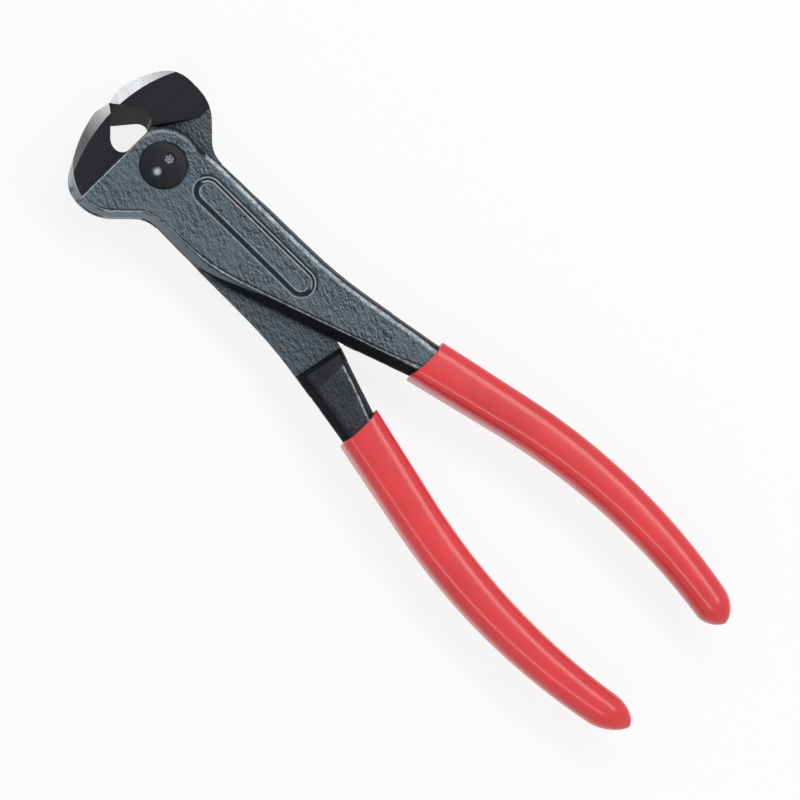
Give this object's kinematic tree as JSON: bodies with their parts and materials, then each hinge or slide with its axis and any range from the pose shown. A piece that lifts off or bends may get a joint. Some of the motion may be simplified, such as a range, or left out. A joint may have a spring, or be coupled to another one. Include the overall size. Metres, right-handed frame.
{
  "type": "end cutting nippers",
  "caption": "End cutting nippers with forged steel levers in a riveted lap joint, wide ground jaws and bowed handles in dipped sleeves.",
  "frame": {"origin": "centre of the closed tool in plan, at the height of the lowest points of the jaws", "axes": "+X from the nose to the handle ends, +Z along the pivot rivet towards the front lever, +Y towards the front handle"},
  "size_m": [0.2, 0.0542, 0.0272],
  "materials": {
    "lever_steel": "dark blue-grey forging skin with ground lands",
    "rivet_steel": "black, smooth",
    "grip_red": "glossy dipped coating"
  },
  "bodies": {
    "front": {"front_lever": "lever_steel", "pivot_rivet": "rivet_steel", "front_grip": "grip_red"},
    "rear": {"rear_lever": "lever_steel", "rear_grip": "grip_red"}
  },
  "joints": [
    {"name": "jaw_hinge", "type": "hinge", "parent": "front", "child": "rear", "pos_m": [-0.07957, 0, 0.0136], "axis": [0, 0, -1], "range_deg": [0, 50]}
  ]
}
